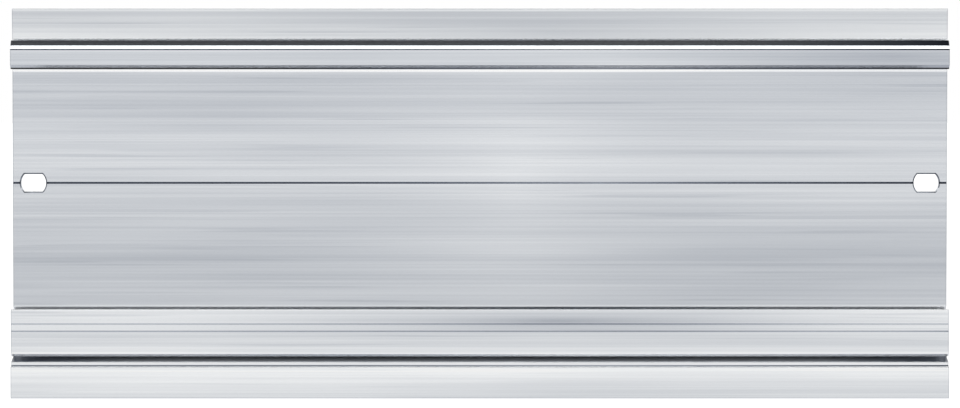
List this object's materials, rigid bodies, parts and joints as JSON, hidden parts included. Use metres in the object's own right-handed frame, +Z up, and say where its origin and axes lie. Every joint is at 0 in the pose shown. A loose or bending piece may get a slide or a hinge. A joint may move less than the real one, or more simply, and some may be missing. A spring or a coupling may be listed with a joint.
{
  "type": "plc mounting rail",
  "caption": "Extruded aluminium mounting rail for controller modules, with a hook lip, a built-in 35 mm rail profile and double-D screw holes.",
  "frame": {"origin": "on the panel plane, at mid length on the line of the screw holes", "axes": "+X along the rail, +Y into the panel, +Z up; the front faces -Y"},
  "size_m": [0.373, 0.016, 0.155],
  "materials": {
    "aluminium": "bare extruded aluminium, finely brushed along its length"
  },
  "bodies": {
    "root": {"mounting_rail": "aluminium"}
  },
  "joints": []
}
